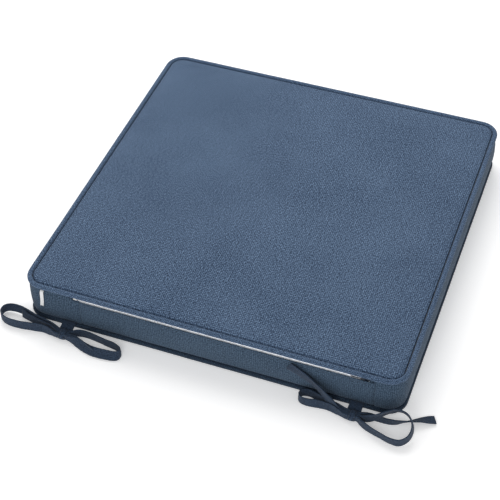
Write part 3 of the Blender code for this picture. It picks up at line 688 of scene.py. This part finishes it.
make_bow("left", LEFT_KNOT,
         (LEFT_LOOP_OUTER, LEFT_TAIL_INNER, ("stem_a", "loop_outer", "tail_inner")),
         (LEFT_LOOP_INNER, LEFT_TAIL_OUTER, ("stem_b", "loop_inner", "tail_outer")))
make_bow("right", RIGHT_KNOT,
         (RIGHT_LOOP_INNER, RIGHT_TAIL_OUTER, ("stem_a", "loop_inner", "tail_outer")),
         (RIGHT_LOOP_OUTER, RIGHT_TAIL_INNER, ("stem_b", "loop_outer", "tail_inner")))


# --- The shape of the stuffed cover ---

TOP_CROWN = 3.4 * MM
SIDE_CROWN = 0.9 * MM
SLAB_TOP = PAD_HEIGHT - SEAM_DROP
SLAB_LOW = SEAM_DROP
SLAB_GRID = 6 * MM
PINNED_WIDTH = 5 * MM
SWELLING_FRAMES = 20
TOP_SHARE, SIDE_SHARE = 0.35, 0.25          # how much of the slab's swelling the foam allows
SEAM_PULL = 16 * MM                         # how far in a seam holds the cloth down


def simulated_slab():
    """A plain slab of cloth blown up between its pinned seams, as a tree to cast rays at."""
    bm = bmesh.new()
    bmesh.ops.create_cube(bm, size=1)
    bmesh.ops.scale(bm, vec=(2 * PANEL_HALF, 2 * PANEL_HALF, SLAB_TOP - SLAB_LOW),
                    verts=bm.verts)
    bmesh.ops.translate(bm, vec=(0, 0, (SLAB_TOP + SLAB_LOW) / 2), verts=bm.verts)
    upright = [edge for edge in bm.edges
               if abs(edge.verts[0].co.z - edge.verts[1].co.z) > PAD_HEIGHT / 2]
    bmesh.ops.bevel(bm, geom=upright, offset=PANEL_CORNER, segments=6, profile=0.5,
                    affect="EDGES", material=-1)
    slab = add_object("cloth_slab", bm)
    remesh = slab.modifiers.new("even cloth", "REMESH")
    remesh.mode = "VOXEL"
    remesh.voxel_size = SLAB_GRID
    bpy.context.view_layer.update()
    even = bpy.data.meshes.new_from_object(
        slab.evaluated_get(bpy.context.evaluated_depsgraph_get()))
    slab.modifiers.clear()
    slab.data = even
    seam = slab.vertex_groups.new(name="seam")
    corner_line = PANEL_HALF - PANEL_CORNER
    for vert in even.vertices:
        beyond = Vector((max(0, abs(vert.co.x) - corner_line),
                         max(0, abs(vert.co.y) - corner_line)))
        from_rim = PANEL_CORNER - beyond.length if beyond.length else 1
        from_level = min(abs(vert.co.z - SLAB_TOP), abs(vert.co.z - SLAB_LOW))
        if from_rim < PINNED_WIDTH and from_level < PINNED_WIDTH:
            seam.add([vert.index], 1.0, "REPLACE")
    cloth = slab.modifiers.new("stuffed", "CLOTH")
    settings = cloth.settings
    settings.quality = 4
    settings.vertex_group_mass = "seam"
    settings.effector_weights.gravity = 0
    settings.use_pressure = True
    settings.uniform_pressure_force = 4
    settings.tension_stiffness = settings.compression_stiffness = 12
    settings.bending_stiffness = 1.5
    settings.shrink_min = -0.012
    cloth.collision_settings.use_collision = False
    cloth.point_cache.frame_start, cloth.point_cache.frame_end = 1, SWELLING_FRAMES
    for step in range(1, SWELLING_FRAMES + 1):
        bpy.context.scene.frame_set(step)
    swollen = slab.evaluated_get(bpy.context.evaluated_depsgraph_get()).to_mesh()
    tree = BVHTree.FromPolygons([vert.co.copy() for vert in swollen.vertices],
                                [tuple(face.vertices) for face in swollen.polygons])
    bpy.data.objects.remove(slab)
    bpy.context.scene.frame_set(1)
    return tree


SWOLLEN = simulated_slab()


def capped(height, cap):
    """A swelling that levels off where the foam's own flat face stops it."""
    return cap * math.tanh(max(0.0, height) / cap)


def top_swelling(x, y, from_seam):
    """How far the top's cloth stands above the seam's level, past the roll at its edge."""
    if SWOLLEN is None:
        raw = TOP_CROWN * (1 - math.exp(-from_seam / (15 * MM))) * 1.5
    else:
        hit = SWOLLEN.ray_cast(Vector((x, y, 1)), Vector((0, 0, -1)))[0]
        raw = (hit.z - SLAB_TOP) * TOP_SHARE if hit else 0.0
    uneven = 0.32 * waver(x * 14, y * 17) + 0.22 * waver(x * 34, y * 30, seed=1)
    return (capped(raw, TOP_CROWN) + uneven * MM) * smoothly(from_seam / SEAM_PULL)


def side_swelling(place, normal, run, drop):
    """How far the side wall's cloth bulges past its even curve."""
    middle = math.sin(math.pi * min(1, max(0, drop / PAD_HEIGHT)))
    if SWOLLEN is None:
        raw = SIDE_CROWN * middle
    else:
        hit = SWOLLEN.ray_cast(place + normal * 0.2, -normal)[0]
        raw = ((hit - place).dot(normal) + SEAM_INSET) * SIDE_SHARE if hit else 0.0
        raw = max(0.0, min(raw, 4 * SIDE_CROWN)) * middle
    wrinkle = 0.30 * waver(run * 42, drop * 16, seed=4) + 0.14 * waver(run * 120, drop * 24, seed=5)
    return capped(raw, SIDE_CROWN) + wrinkle * MM * middle


CORNER_STEPS = 12


def stations(start_x, end_x, spacing=4 * MM, seam_ends=True):
    """Places round the pad from the rear edge at start_x, by the right, front and left edges,
    to the rear edge at end_x. Each has a point on the corner centres' line, the outward normal,
    the run from the start and the way to the nearest end."""
    bends = ((INNER_X, -INNER_Y, -90), (INNER_X, INNER_Y, 0), (-INNER_X, INNER_Y, 90),
             (-INNER_X, -INNER_Y, 180))
    path = [(Vector((start_x, -INNER_Y, 0)), -90)]
    for x, y, angle in bends:
        here, there = path[-1][0], Vector((x, y, 0))
        count = max(2, round((there - here).length / spacing))
        path += [(here.lerp(there, step / count), angle) for step in range(1, count)]
        path += [(there, angle + 90 * step / CORNER_STEPS) for step in range(CORNER_STEPS + 1)]
    here, there = path[-1][0], Vector((end_x, -INNER_Y, 0))
    count = max(2, round((there - here).length / spacing))
    path += [(here.lerp(there, step / count), 270) for step in range(1, count + 1)]
    if seam_ends:
        path = close_stations(path)
    return measured(path)


def close_stations(path):
    """Adds stations close together at both ends, where the cloth turns in to its seam."""
    first, last = path[0], path[-1]
    extra = (0.5, 1.1, 1.9, 2.8)
    towards = (path[1][0] - first[0]).normalized()
    back = (path[-2][0] - last[0]).normalized()
    head = [(first[0] + towards * step * MM, first[1]) for step in extra]
    tail = [(last[0] + back * step * MM, last[1]) for step in reversed(extra)]
    return [first] + head + path[1:-1] + tail + [last]


def measured(path):
    found, run = [], 0.0
    for index, (base, angle) in enumerate(path):
        normal = Vector((math.cos(math.radians(angle)), math.sin(math.radians(angle)), 0))
        if index:
            before = found[-1]
            step = (base + normal * CORNER_RADIUS) - (before[0] + before[1] * CORNER_RADIUS)
            run += step.length
        found.append((base, normal, run))
    total = found[-1][2]
    return [(base, normal, run, min(run, total - run)) for base, normal, run in found]


def at_depth(station, inset, drop):
    base, normal = station[:2]
    place = base + normal * (CORNER_RADIUS - inset)
    return Vector((place.x, place.y, PAD_HEIGHT - drop))


# --- Seat panels ---

PANEL_EDGE_LINES = (0, 0.35, 0.9, 1.7, 2.9, 4.5, 6.8, 10, 14)
ROLL_WIDTH = 9.0 * MM


def panel_lines():
    """Where the cloth's grid lines lie from one seam to the other, close together at the seams."""
    count = 92
    inside = [(PANEL_HALF - PANEL_CORNER) * (2 * step / count - 1) for step in range(count + 1)]
    edge = [PANEL_HALF - line * MM for line in PANEL_EDGE_LINES]
    return [-line for line in edge] + inside + edge[::-1]


def round_corner(x, y):
    """Moves a point of a square cloth onto the pad's rounded outline; gives its way in from
    the seam too."""
    ring = max(abs(x), abs(y))
    from_seam = PANEL_HALF - ring
    radius = max(0.0, PANEL_CORNER - from_seam)
    past = min(abs(x), abs(y)) - (ring - radius)
    if radius > 0 and past > 0:
        turn = math.pi / 4 * past / radius
        long, short = math.cos(turn), math.sin(turn)
        if abs(y) > abs(x):
            long, short = short, long
        x = math.copysign(ring - radius + radius * long, x)
        y = math.copysign(ring - radius + radius * short, y)
    return x, y, from_seam


def panel_drop(from_seam):
    """The cloth comes straight up out of its seam and rolls over to the flat."""
    if from_seam < 0.1 * MM:
        return SEAM_DROP + 1.7 * MM
    share = min(1.0, (from_seam - 0.35 * MM) / ROLL_WIDTH)
    return SEAM_DROP * (1 - math.sqrt(max(0.0, 1 - (1 - share) ** 2)))


def make_panel(name, node, top):
    lines = panel_lines()

    def place(i, j):
        x, y, from_seam = round_corner(lines[i], lines[j])
        drop = panel_drop(from_seam)
        gather = 0.16 * MM * waver((x + y) * 260, (x - y) * 260, seed=2)
        gather *= math.exp(-((from_seam - 3 * MM) / (3.5 * MM)) ** 2)
        if top:
            return Vector((x, y, PAD_HEIGHT - drop + gather + top_swelling(x, y, from_seam)))
        rise = (0.12 + 0.12 * waver(x * 20, y * 20, seed=3)) * MM
        return Vector((x, y, drop + gather * 0.5 + rise * smoothly(from_seam / SEAM_PULL)))

    count = len(lines) - 1
    bm = cloth_grid(count, count, place, lambda i, j: round_corner(lines[i], lines[j])[:2])
    panel = finish_piece(name, bm, SEAT_CLOTH, "pad", [node], closed=False)
    thicken(panel)


# --- Side walls ---

HEM_CLOTH = 0.55 * MM
SEAM_DEPTH = 1.2 * MM
SEAM_WIDTH = 2.6 * MM
CUT_DEPTH = 4.1 * MM                        # the plain wall's cut below the zip's left end
CUT_LENGTH = 8 * MM
WALL_FOOT_DROP = PAD_HEIGHT - WALL_TOP_DROP
WALL_TUCK = (WALL_TOP_INSET + 1.1 * MM, WALL_FOOT_DROP + 0.25 * MM, False)


def wall_inset(drop):
    """The even curve of the side wall from the upper piping to the lower."""
    height = (PAD_HEIGHT / 2 - drop) / (PAD_HEIGHT / 2 - WALL_TOP_DROP)
    height = min(1.0, max(-1.0, height))
    bulge = WALL_TOP_INSET - WALL_MIDDLE_INSET
    return WALL_TOP_INSET - bulge * math.sqrt(max(0.0, 1 - height * height))


def seam_dip(to_end):
    """How far the cloth turns in where two lengths of wall are joined."""
    return SEAM_DEPTH * (1 - smoothly(to_end / SEAM_WIDTH))


def make_wall(name, path, profile, replaced, thickness):
    """A length of side wall. profile(station) gives the inset and the drop of each of its
    lines, and whether the line is free to bulge."""
    count = len(profile(path[0]))
    lines = [profile(station) for station in path]

    def place(i, j):
        station = path[j]
        inset, drop, free = lines[j][i]
        start = at_depth(station, inset, drop)
        swell = side_swelling(start, station[1], station[2], drop) if free else 0.0
        return at_depth(station, inset - swell + seam_dip(station[3]), drop)

    middle = lines[len(lines) // 2]
    height = running_total(math.hypot(c - a, d - b)
                           for (a, b, _), (c, d, _) in zip(middle, middle[1:]))
    bm = cloth_grid(count - 1, len(path) - 1, place, lambda i, j: (path[j][2], -height[i]))
    # The walls take the darker copy of the seat cloth: painted shade.
    wall = finish_piece(name, bm, SIDE_CLOTH_PAINTED_SHADE, "pad", [replaced], closed=False)
    thicken(wall, thickness)


def band_profile(station):
    """The plain wall: from under the upper piping to over the lower one. Its cut edge slants
    down below the zip's end on the rear left."""
    top = WALL_TOP_DROP
    x = (station[0] + station[1] * CORNER_RADIUS).x
    if station[1].y < -0.99 and x < 0:
        top += CUT_DEPTH * smoothly((x - (ZIP_END_LEFT - 7 * MM)) / CUT_LENGTH)
    points = [(wall_inset(top) + 1.3 * MM, top - 0.25 * MM + (top - WALL_TOP_DROP) * 0.1, False)]
    for step in range(19):
        share = (1 - math.cos(math.pi * step / 18)) / 2
        drop = top + (WALL_FOOT_DROP - top) * share
        points.append((wall_inset(drop), drop, True))
    return points + [WALL_TUCK]


# The hem's fold: insets and ways down from its top, in millimetres.
HEM_FOLD = ((2.75, 12.5), (2.8, 8), (2.8, 4), (2.72, 1.6), (2.5, 0.5), (2.15, 0.08), (1.8, 0.0),
            (1.5, 0.22), (1.34, 0.7))


def rear_profile(station):
    """The wall below the zip: its upper edge is folded in behind as a hem."""
    x = (station[0] + station[1] * CORNER_RADIUS).x
    wave = (0.35 * waver(x * 16, seed=7) + 0.16 * waver(x * 60, seed=8)) * MM
    top = HEM_TOP_DROP + wave
    points = [(inset * MM, top + down * MM, False) for inset, down in HEM_FOLD]
    start = top + HEM_FOLD[-1][1] * MM
    for step in range(1, 20):
        drop = start + (WALL_FOOT_DROP - start) * step / 19
        above = max(0.0, (PAD_HEIGHT / 2 - drop) / (PAD_HEIGHT / 2 - HEM_TOP_DROP))
        inset = wall_inset(drop) if drop > PAD_HEIGHT / 2 else (
            WALL_MIDDLE_INSET + (HEM_INSET - WALL_MIDDLE_INSET) * above ** 1.5)
        points.append((inset, drop, step > 2))
    return points + [WALL_TUCK]


def make_walls():
    make_wall("boxing_cloth", stations(REAR_SEAM_RIGHT, REAR_SEAM_LEFT), band_profile,
              "boxing_band", CLOTH)
    count = 120
    rear = [(Vector((REAR_SEAM_LEFT + (REAR_SEAM_RIGHT - REAR_SEAM_LEFT) * step / count,
                     -INNER_Y, 0)), 270) for step in range(count + 1)]
    make_wall("rear_boxing_cloth", measured(close_stations(rear)), rear_profile,
              "rear_boxing", HEM_CLOTH)


# --- Piping ---

def make_piping(name, node, top):
    """Bias cloth wrapped round its cord, all round the pad, with small puckers. The lower
    one is only lifted off the floor, never sunk in it."""
    path = stations(0, 0, 3.4 * MM, seam_ends=False)
    around = 18
    total = path[-1][2]

    def place(i, j):
        station = path[j % (len(path) - 1)]
        turn = math.tau * (i % around) / around
        run = station[2]
        puckers = 0.05 * waver(run * 420, turn * 0.8, seed=9) + 0.10 * waver(run * 70, seed=10)
        radius = PIPE_RADIUS - 0.12 * MM + puckers * MM
        wander = 0.22 * MM * waver(run * 12, seed=11 if top else 12)
        lift = 0.16 * MM * waver(run * 15, seed=13 if top else 14)
        drop = PIPE_RADIUS + radius * math.cos(turn) + (lift if top else abs(lift))
        inset = PIPE_RADIUS + radius * math.sin(turn) + wander
        return at_depth(station, inset, drop if top else PAD_HEIGHT - drop)

    bm = cloth_grid(around, len(path) - 1, place,
                    lambda i, j: (total * j / (len(path) - 1),
                                  math.tau * PIPE_RADIUS * i / around))
    join_ends(bm)
    # The lower piping takes the darker copy of the piping cloth: painted shade.
    finish_piece(name, bm, PIPING_CLOTH if top else PIPING_CLOTH_PAINTED_SHADE_BELOW, "pad",
                 [node])


make_panel("seat_face_cloth", "top_panel", True)
make_panel("underside_cloth", "bottom_panel", False)
make_walls()
make_piping("upper_piping", "top_piping_cover", True)
make_piping("lower_piping", "bottom_piping_cover", False)


# --- Filling ---

def merged_copy(node):
    bm = bmesh.new()
    bm.from_mesh(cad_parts[node].data)
    bmesh.ops.remove_doubles(bm, verts=bm.verts[:], dist=1e-6)
    bmesh.ops.dissolve_limit(bm, angle_limit=math.radians(1), verts=bm.verts[:],
                             edges=bm.edges[:])
    return bm


def soften(piece, width, segments=3):
    bevel = piece.modifiers.new("soft edges", "BEVEL")
    bevel.width = width
    bevel.segments = segments
    bevel.limit_method = "ANGLE"
    bevel.angle_limit = math.radians(35)
    bevel.use_clamp_overlap = True


def dress(node, material):
    """Gives a CAD piece that stays in view its finish."""
    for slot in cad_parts[node].material_slots:
        slot.material = material


def make_wadding(name, node, side, seed):
    low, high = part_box(node)
    steps = 60

    def place(i, j):
        x = low.x + (high.x - low.x) * i / steps
        y = low.y + (high.y - low.y) * j / steps
        puff = 0.5 + 0.35 * waver(x * 60, y * 60, seed=seed)
        return Vector((x, y, low.z + (high.z - low.z) * (0.6 + 0.35 * puff)))

    bm = cloth_grid(steps, steps, place, lambda i, j: (i / steps, j / steps))
    piece = finish_piece(name, bm, WADDING, "pad", [node], closed=False)
    loft = piece.modifiers.new("loft", "SOLIDIFY")
    loft.thickness = (high.z - low.z) * 0.6
    loft.offset = side


def make_filling():
    foam = finish_piece("foam_block", merged_copy("foam_core"), FOAM, "pad",
                        ["foam_core"], smooth=False)
    soften(foam, 0.4 * MM, 2)
    make_wadding("wadding_over_foam", "wadding_top", -1, 20)
    make_wadding("wadding_under_foam", "wadding_bottom", 1, 21)
    for node in ("top_piping_cord", "bottom_piping_cord"):
        dress(node, COTTON_CORD)


make_filling()


# --- Zip ---

COIL_WIRE = 0.3 * MM                        # half the coil thread's thickness
COIL_PITCH = 1.45 * MM
COIL_FORWARD = 0.15 * MM
TAPE_THICKNESS = 0.4 * MM


def make_coil(name, node, phase):
    """One of the zip's two nylon coils, its loops side by side along the tape's edge."""
    low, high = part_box(node)
    per_turn, around = 10, 5
    start = ZIP_END_LEFT - 0.5 * MM
    turns = int((high.x - start) / COIL_PITCH)
    centre = (low + high) / 2
    half_tall = (high.z - low.z) / 2 - COIL_WIRE
    half_deep = (high.y - low.y) / 2 - COIL_WIRE
    centre.y -= COIL_FORWARD

    def place(i, j):
        turn = math.tau * j / per_turn + phase
        ring = math.tau * (i % around) / around
        out = Vector((0, math.sin(turn), math.cos(turn)))
        middle = Vector((start + COIL_PITCH * (j / per_turn + phase / math.tau),
                         centre.y + half_deep * math.sin(turn),
                         centre.z + half_tall * math.cos(turn)))
        return (middle + out * COIL_WIRE * math.cos(ring)
                + Vector((COIL_WIRE * math.sin(ring), 0, 0)))

    bm = cloth_grid(around, turns * per_turn, place,
                    lambda i, j: (j * 0.4 * MM, i * 0.35 * MM))
    join_ends(bm)
    close_ends(bm)
    finish_piece(name, bm, NYLON_PAINTED_GLOW, "pad", [node])


def make_tape(name, node, seed):
    """A length of woven zip tape behind the coils."""
    low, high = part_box(node)
    columns, rows = 8, 130
    start = ZIP_END_LEFT - 1 * MM

    def place(i, j):
        x = start + (high.x - start) * j / rows
        z = low.z + (high.z - low.z) * i / columns
        return Vector((x, low.y + 0.12 * MM * (1 + waver(x * 30, z * 90, seed=seed)), z))

    bm = cloth_grid(columns, rows, place,
                    lambda i, j: ((high.x - start) * j / rows, (high.z - low.z) * i / columns))
    tape = finish_piece(name, bm, ZIP_TAPE_CLOTH, "pad", [node], closed=False)
    thicken(tape, TAPE_THICKNESS)


def make_zip():
    make_coil("zip_coil_upper", "zip_teeth_upper", 0.0)
    make_coil("zip_coil_lower", "zip_teeth_lower", math.pi)
    make_tape("zip_tape_cloth_upper", "zip_tape_upper", 30)
    make_tape("zip_tape_cloth_lower", "zip_tape_lower", 31)
    for node in ("zip_top_stop_upper", "zip_top_stop_lower", "zip_bottom_stop"):
        dress(node, BARE_METAL)
    for name, node, body, edge in (("slider_casting", "zip_slider", "slider", 0.16),
                                   ("slider_pull_tab", "zip_pull", "pull", 0.12)):
        piece = finish_piece(name, merged_copy(node), ENAMEL, body, [node],
                             smooth=False)
        soften(piece, edge * MM)


TAB_TOP_DROP = 6.3 * MM
TAB_HEIGHT = 12 * MM


def zip_end_tab(name, start, end):
    """A small patch of the cover's cloth behind an end of the zip."""
    columns, rows = 10, 6

    def place(i, j):
        drop = TAB_TOP_DROP + TAB_HEIGHT * i / columns
        x = start + (end - start) * j / rows
        fray = 0.1 * MM * waver(x * 300, drop * 300, seed=50)
        return Vector((x, wall_inset(max(drop, WALL_TOP_DROP)) + 0.86 * MM + fray - HALF_DEPTH,
                       PAD_HEIGHT - drop))

    bm = cloth_grid(columns, rows, place,
                    lambda i, j: ((end - start) * j / rows, TAB_HEIGHT * i / columns))
    tab = finish_piece(name, bm, SIDE_CLOTH_PAINTED_SHADE, "pad", closed=False)
    thicken(tab, 0.15 * MM)


make_zip()
zip_end_tab("zip_end_tab_left", ZIP_END_LEFT - 14 * MM, ZIP_END_LEFT - 0.5 * MM)
zip_end_tab("zip_end_tab_right", REAR_SEAM_RIGHT - 7 * MM, REAR_SEAM_RIGHT + 4 * MM)


# --- Stitches and tag ---

STITCH_PITCH = 3.2 * MM
STITCH_HALF = Vector((1.25, 0.24, 0.24)) * MM


def make_hem_stitches():
    """A row of stitches along the hem, each a small rounded length of thread."""
    start, end = REAR_SEAM_LEFT + 4 * MM, REAR_SEAM_RIGHT - 4 * MM
    bm = bmesh.new()
    for index in range(int((end - start) / STITCH_PITCH)):
        x = start + STITCH_PITCH * (index + 0.5)
        drop = HEM_TOP_DROP + (3.2 + 0.12 * waver(x * 90, seed=41)) * MM
        place = Matrix.Translation((x, -HALF_DEPTH + HEM_INSET - 0.22 * MM, PAD_HEIGHT - drop))
        tilt = Matrix.Rotation(0.12 * waver(index * 1.7, seed=40), 4, "Y")
        made = bmesh.ops.create_icosphere(bm, subdivisions=1, radius=1)["verts"]
        bmesh.ops.transform(bm, matrix=place @ tilt @ Matrix.Diagonal((*STITCH_HALF, 1)),
                            verts=made)
    finish_piece("hem_topstitch", bm, NAVY_THREAD, "pad")


TAG_SHIFT = 5.6 * MM
TAG_SLANT = 2.4 * MM


def make_tag():
    """A narrow satin tag, folded double, that hangs from the seam under the upper piping."""
    low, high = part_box("care_label")
    half = (high.x - low.x) / 2
    middle = (low.x + high.x) / 2
    foot = (PAD_HEIGHT - low.z) / MM - 1
    fold = [(2.6, 7.6), (1.4, 7.9), (0.5, 8.7), (-0.2, 10.2)]
    front = [(-0.55, drop) for drop in range(13, 32, 3)]
    tip = [(-0.6, foot - 2), (-0.62, foot - 0.8), (-0.45, foot), (-0.2, foot - 0.8),
           (-0.12, foot - 2)]
    back = [(-0.1, drop) for drop in (28, 22, 16, 12)] + [(0.6, 9.4), (2.6, 8.4)]
    line = [(inset * MM, drop * MM) for inset, drop in fold + front + tip + back]
    columns = 8
    run = running_total(math.hypot(c - a, d - b) for (a, b), (c, d) in zip(line, line[1:]))

    def place(i, j):
        inset, drop = line[j]
        share = 2 * i / columns - 1
        slant = TAG_SHIFT - TAG_SLANT * ((drop / MM - 7) / (foot - 7)) ** 2
        curl = 0.25 * MM * share * share + 0.15 * MM * waver(drop * 90, share, seed=43)
        x = middle + slant + half * 0.96 * share
        past = max(0.0, -INNER_X - x)
        follow = CORNER_RADIUS - math.sqrt(CORNER_RADIUS ** 2 - past * past)
        return Vector((x, inset - HALF_DEPTH + follow * 0.8 - curl, PAD_HEIGHT - drop))

    bm = cloth_grid(columns, len(line) - 1, place,
                    lambda i, j: (half * 2 * i / columns, run[j]))
    tag = finish_piece("care_tag", bm, SATIN, "pad", ["care_label"],
                       closed=False)
    thicken(tag, 0.16 * MM)


make_hem_stitches()
make_tag()


# --- Floor ---

FLOOR_HALF = 4
FLOOR_GAP = 0.4 * MM                        # below the floor level of the frame
FLOOR_GLOW = 0.3


def make_floor():
    material, s, shader = new_material("studio floor", Specular_IOR_Level=0.1,
                                       Emission_Strength=FLOOR_GLOW)
    shader.inputs["Emission Color"].default_value = (1, 1, 1, 1)
    place = s.node("TexCoord").outputs["Object"]
    grain = s.group(GRAIN, {"Place": place, "Size": 0.3}).outputs["Grain"]
    s.put(s.mix(grain, (0.965, 0.965, 0.968, 1), (0.98, 0.98, 0.982, 1)),
          shader.inputs["Base Color"])
    s.put(s.spread(grain, 0, 1, 0.9, 1.0), shader.inputs["Roughness"])
    bm = bmesh.new()
    bmesh.ops.create_grid(bm, x_segments=1, y_segments=1, size=FLOOR_HALF)
    bmesh.ops.translate(bm, vec=(0, 0, -FLOOR_GAP), verts=bm.verts)
    floor = add_object("studio_floor", bm)
    floor.data.materials.append(material)


make_floor()
